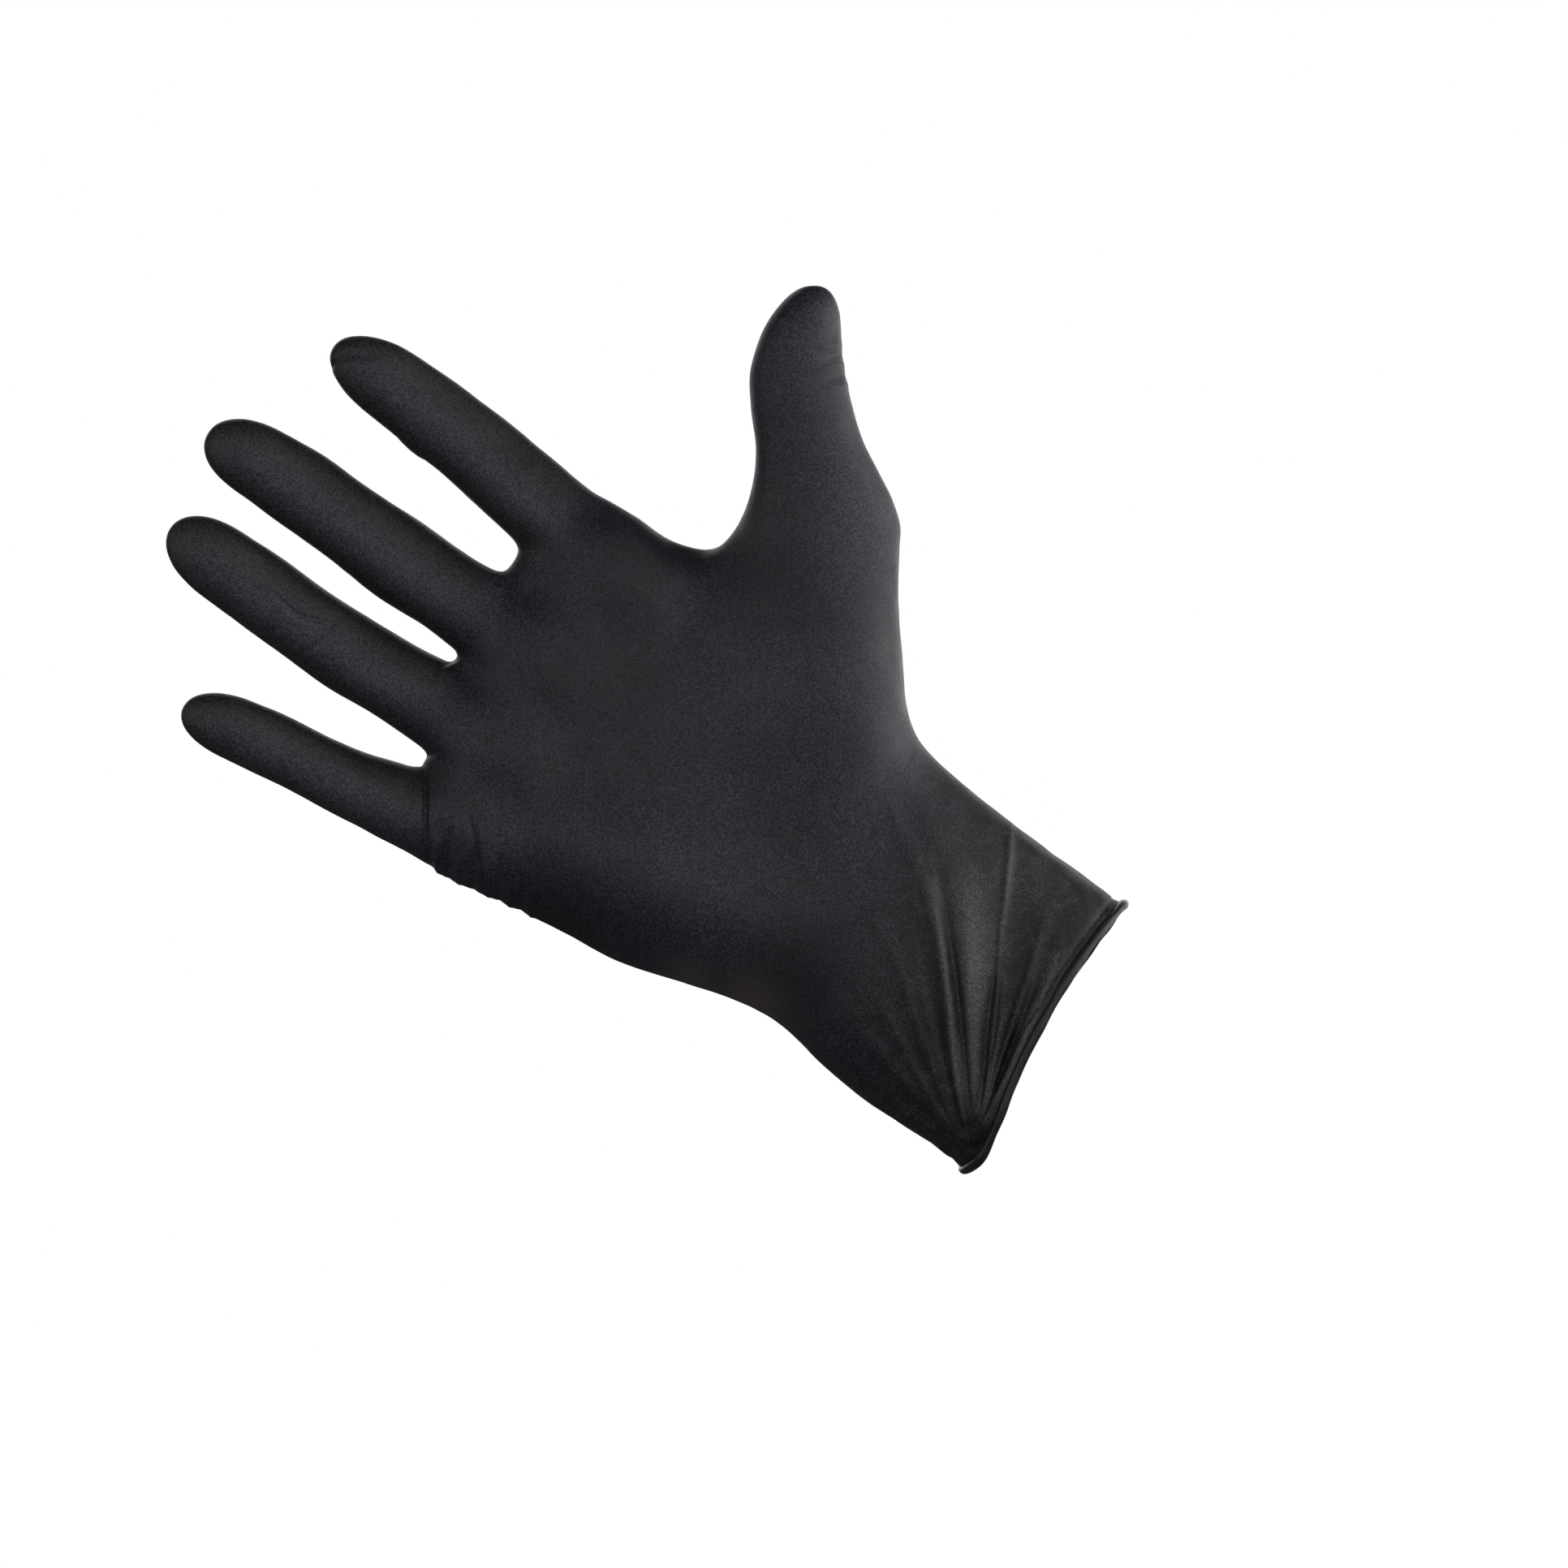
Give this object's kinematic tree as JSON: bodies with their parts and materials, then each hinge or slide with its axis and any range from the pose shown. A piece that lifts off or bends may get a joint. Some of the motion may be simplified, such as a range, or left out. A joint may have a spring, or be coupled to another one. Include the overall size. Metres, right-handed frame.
{
  "type": "disposable nitrile glove",
  "caption": "Thin black disposable glove in its worn right-hand shape: a hollow film, open at the wrist, with a rolled rim and fingers and a thumb that flex.",
  "frame": {"origin": "centre of the wrist opening, in the plane of the rolled rim", "axes": "+Z from the wrist opening to the fingertips, -Y out of the palm, +X towards the thumb"},
  "size_m": [0.1702, 0.049, 0.2405],
  "materials": {
    "film": "satin",
    "rim": "satin"
  },
  "bodies": {
    "palm": {"cuff_bead": "rim", "cuff_sleeve": "film", "wrist_sleeve": "film", "palm_front": "film", "palm_back": "film", "row_crease": "film", "thumb_root": "film", "thumb_root_crease": "film"},
    "finger_row": {"finger_webs": "film", "index_stall": "film", "middle_stall": "film", "ring_stall": "film", "little_stall": "film", "index_knuckle_crease": "film", "middle_knuckle_crease": "film", "ring_knuckle_crease": "film", "little_knuckle_crease": "film"},
    "index_middle": {"index_middle": "film", "index_tip_crease": "film"},
    "index_tip": {"index_tip": "film"},
    "middle_middle": {"middle_middle": "film", "middle_tip_crease": "film"},
    "middle_tip": {"middle_tip": "film"},
    "ring_middle": {"ring_middle": "film", "ring_tip_crease": "film"},
    "ring_tip": {"ring_tip": "film"},
    "little_middle": {"little_middle": "film", "little_tip_crease": "film"},
    "little_tip": {"little_tip": "film"},
    "thumb": {"thumb_stall": "film", "thumb_tip_crease": "film"},
    "thumb_tip": {"thumb_tip": "film"}
  },
  "joints": [
    {"name": "finger_row_fold", "type": "hinge", "parent": "palm", "child": "finger_row", "pos_m": [-0.003, 0.002, 0.1375], "axis": [0.9925, 0, 0.1219], "range_deg": [0, 70], "deforming": ["row_crease"]},
    {"name": "index_middle_fold", "type": "hinge", "parent": "finger_row", "child": "index_middle", "pos_m": [0.035, 0.001, 0.181], "axis": [0.9955, 0.0045, -0.0946], "range_deg": [0, 80], "deforming": ["index_knuckle_crease"]},
    {"name": "index_tip_fold", "type": "hinge", "parent": "index_middle", "child": "index_tip", "pos_m": [0.0367, -0.0025, 0.2045], "axis": [0.9955, 0.0045, -0.0946], "range_deg": [0, 54], "deforming": ["index_tip_crease"]},
    {"name": "middle_middle_fold", "type": "hinge", "parent": "finger_row", "child": "middle_middle", "pos_m": [0.0043, 0.002, 0.187], "axis": [1, 0.0003, -0.0065], "range_deg": [0, 80], "deforming": ["middle_knuckle_crease"]},
    {"name": "middle_tip_fold", "type": "hinge", "parent": "middle_middle", "child": "middle_tip", "pos_m": [0.0043, -0.002, 0.215], "axis": [1, 0.0003, -0.0065], "range_deg": [0, 54], "deforming": ["middle_tip_crease"]},
    {"name": "ring_middle_fold", "type": "hinge", "parent": "finger_row", "child": "ring_middle", "pos_m": [-0.0202, 0.002, 0.182], "axis": [0.9993, -0.0017, 0.0377], "range_deg": [0, 80], "deforming": ["ring_knuckle_crease"]},
    {"name": "ring_tip_fold", "type": "hinge", "parent": "ring_middle", "child": "ring_tip", "pos_m": [-0.0206, -0.002, 0.209], "axis": [0.9993, -0.0017, 0.0377], "range_deg": [0, 54], "deforming": ["ring_tip_crease"]},
    {"name": "little_middle_fold", "type": "hinge", "parent": "finger_row", "child": "little_middle", "pos_m": [-0.0462, 0.001, 0.167], "axis": [0.987, -0.0092, 0.1602], "range_deg": [0, 80], "deforming": ["little_knuckle_crease"]},
    {"name": "little_tip_fold", "type": "hinge", "parent": "little_middle", "child": "little_tip", "pos_m": [-0.049, -0.002, 0.187], "axis": [0.987, -0.0092, 0.1602], "range_deg": [0, 54], "deforming": ["little_tip_crease"]},
    {"name": "thumb_swing", "type": "hinge", "parent": "palm", "child": "thumb", "pos_m": [0.059, -0.005, 0.099], "axis": [-0.3015, -0.9045, 0.3015], "range_deg": [0, 25], "deforming": ["thumb_root_crease"]},
    {"name": "thumb_tip_fold", "type": "hinge", "parent": "thumb", "child": "thumb_tip", "pos_m": [0.09, -0.009, 0.132], "axis": [-0.099, -0.9901, 0.099], "range_deg": [0, 60], "deforming": ["thumb_tip_crease"]}
  ],
  "couplings": [
    {"joint": "index_tip_fold", "follows": "index_middle_fold", "ratio": 0.667},
    {"joint": "middle_tip_fold", "follows": "middle_middle_fold", "ratio": 0.667},
    {"joint": "ring_tip_fold", "follows": "ring_middle_fold", "ratio": 0.667},
    {"joint": "little_tip_fold", "follows": "little_middle_fold", "ratio": 0.667}
  ]
}
